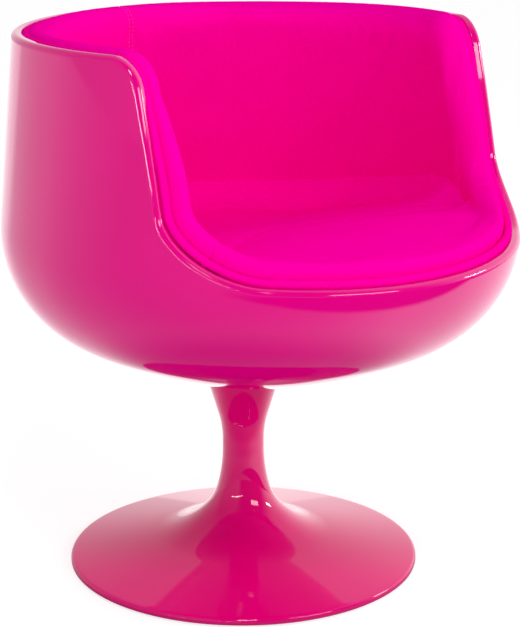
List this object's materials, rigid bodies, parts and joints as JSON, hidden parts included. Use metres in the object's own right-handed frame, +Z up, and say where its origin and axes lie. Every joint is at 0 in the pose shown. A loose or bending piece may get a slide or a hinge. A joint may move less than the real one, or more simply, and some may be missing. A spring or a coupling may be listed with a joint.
{
  "type": "swivel armchair",
  "caption": "Low tub armchair: a glossy round shell with an upholstered seat and curved arm-and-back pads, swivelling on a trumpet pedestal.",
  "frame": {"origin": "on the floor, on the swivel axis, in the middle of the felt disc under the foot", "axes": "+Z up along the swivel axis, the chair's front looks along -Y, +X to the sitter's left"},
  "size_m": [0.6466, 0.6455, 0.704],
  "materials": {
    "shell_lacquer": "high-gloss lacquered glass-fibre moulding",
    "pedestal_lacquer": "high-gloss lacquer on cast aluminium",
    "felted_wool": "short-pile felted wool cloth over foam",
    "welt_cloth": "felted wool cloth sewn round a cord",
    "plywood": "raw birch plywood",
    "zinc_steel": "zinc-plated steel",
    "machined_steel": "turned steel",
    "black_steel": "black primed steel",
    "spring_steel": "phosphated spring steel",
    "bearing_steel": "ground bearing steel",
    "brass_cage": "pressed brass",
    "white_nylon": "natural nylon",
    "grey_felt": "pressed felt"
  },
  "bodies": {
    "base": {"floor_pad": "grey_felt", "ballast_plate": "black_steel", "base_screws": "zinc_steel", "pedestal": "pedestal_lacquer", "column_tube": "machined_steel", "centring_sleeve": "white_nylon", "upper_bush": "white_nylon", "lower_bush": "white_nylon", "lower_race": "bearing_steel"},
    "seat": {"shell": "shell_lacquer", "seat_cushion": "felted_wool", "pad_left": "felted_wool", "pad_right": "felted_wool", "seat_welt": "welt_cloth", "back_welt": "welt_cloth", "mounting_block": "plywood", "bearers": "plywood", "seat_board": "plywood", "seat_board_screws": "zinc_steel", "mounting_bolts": "zinc_steel", "bolt_washers": "zinc_steel", "tee_nuts": "zinc_steel", "swivel_plate": "machined_steel", "spindle": "machined_steel", "retaining_washer": "spring_steel", "retaining_clip": "spring_steel", "upper_race": "bearing_steel"},
    "cage": {"ball_cage": "brass_cage", "bearing_balls": "bearing_steel"}
  },
  "joints": [
    {"name": "seat_swivel", "type": "hinge", "parent": "base", "child": "seat", "pos_m": [0, 0, 0], "axis": [0, 0, 1], "continuous": true},
    {"name": "cage_spin", "type": "hinge", "parent": "base", "child": "cage", "pos_m": [0, 0, 0], "axis": [0, 0, 1], "continuous": true}
  ],
  "couplings": [
    {"joint": "cage_spin", "follows": "seat_swivel", "ratio": 0.5}
  ]
}
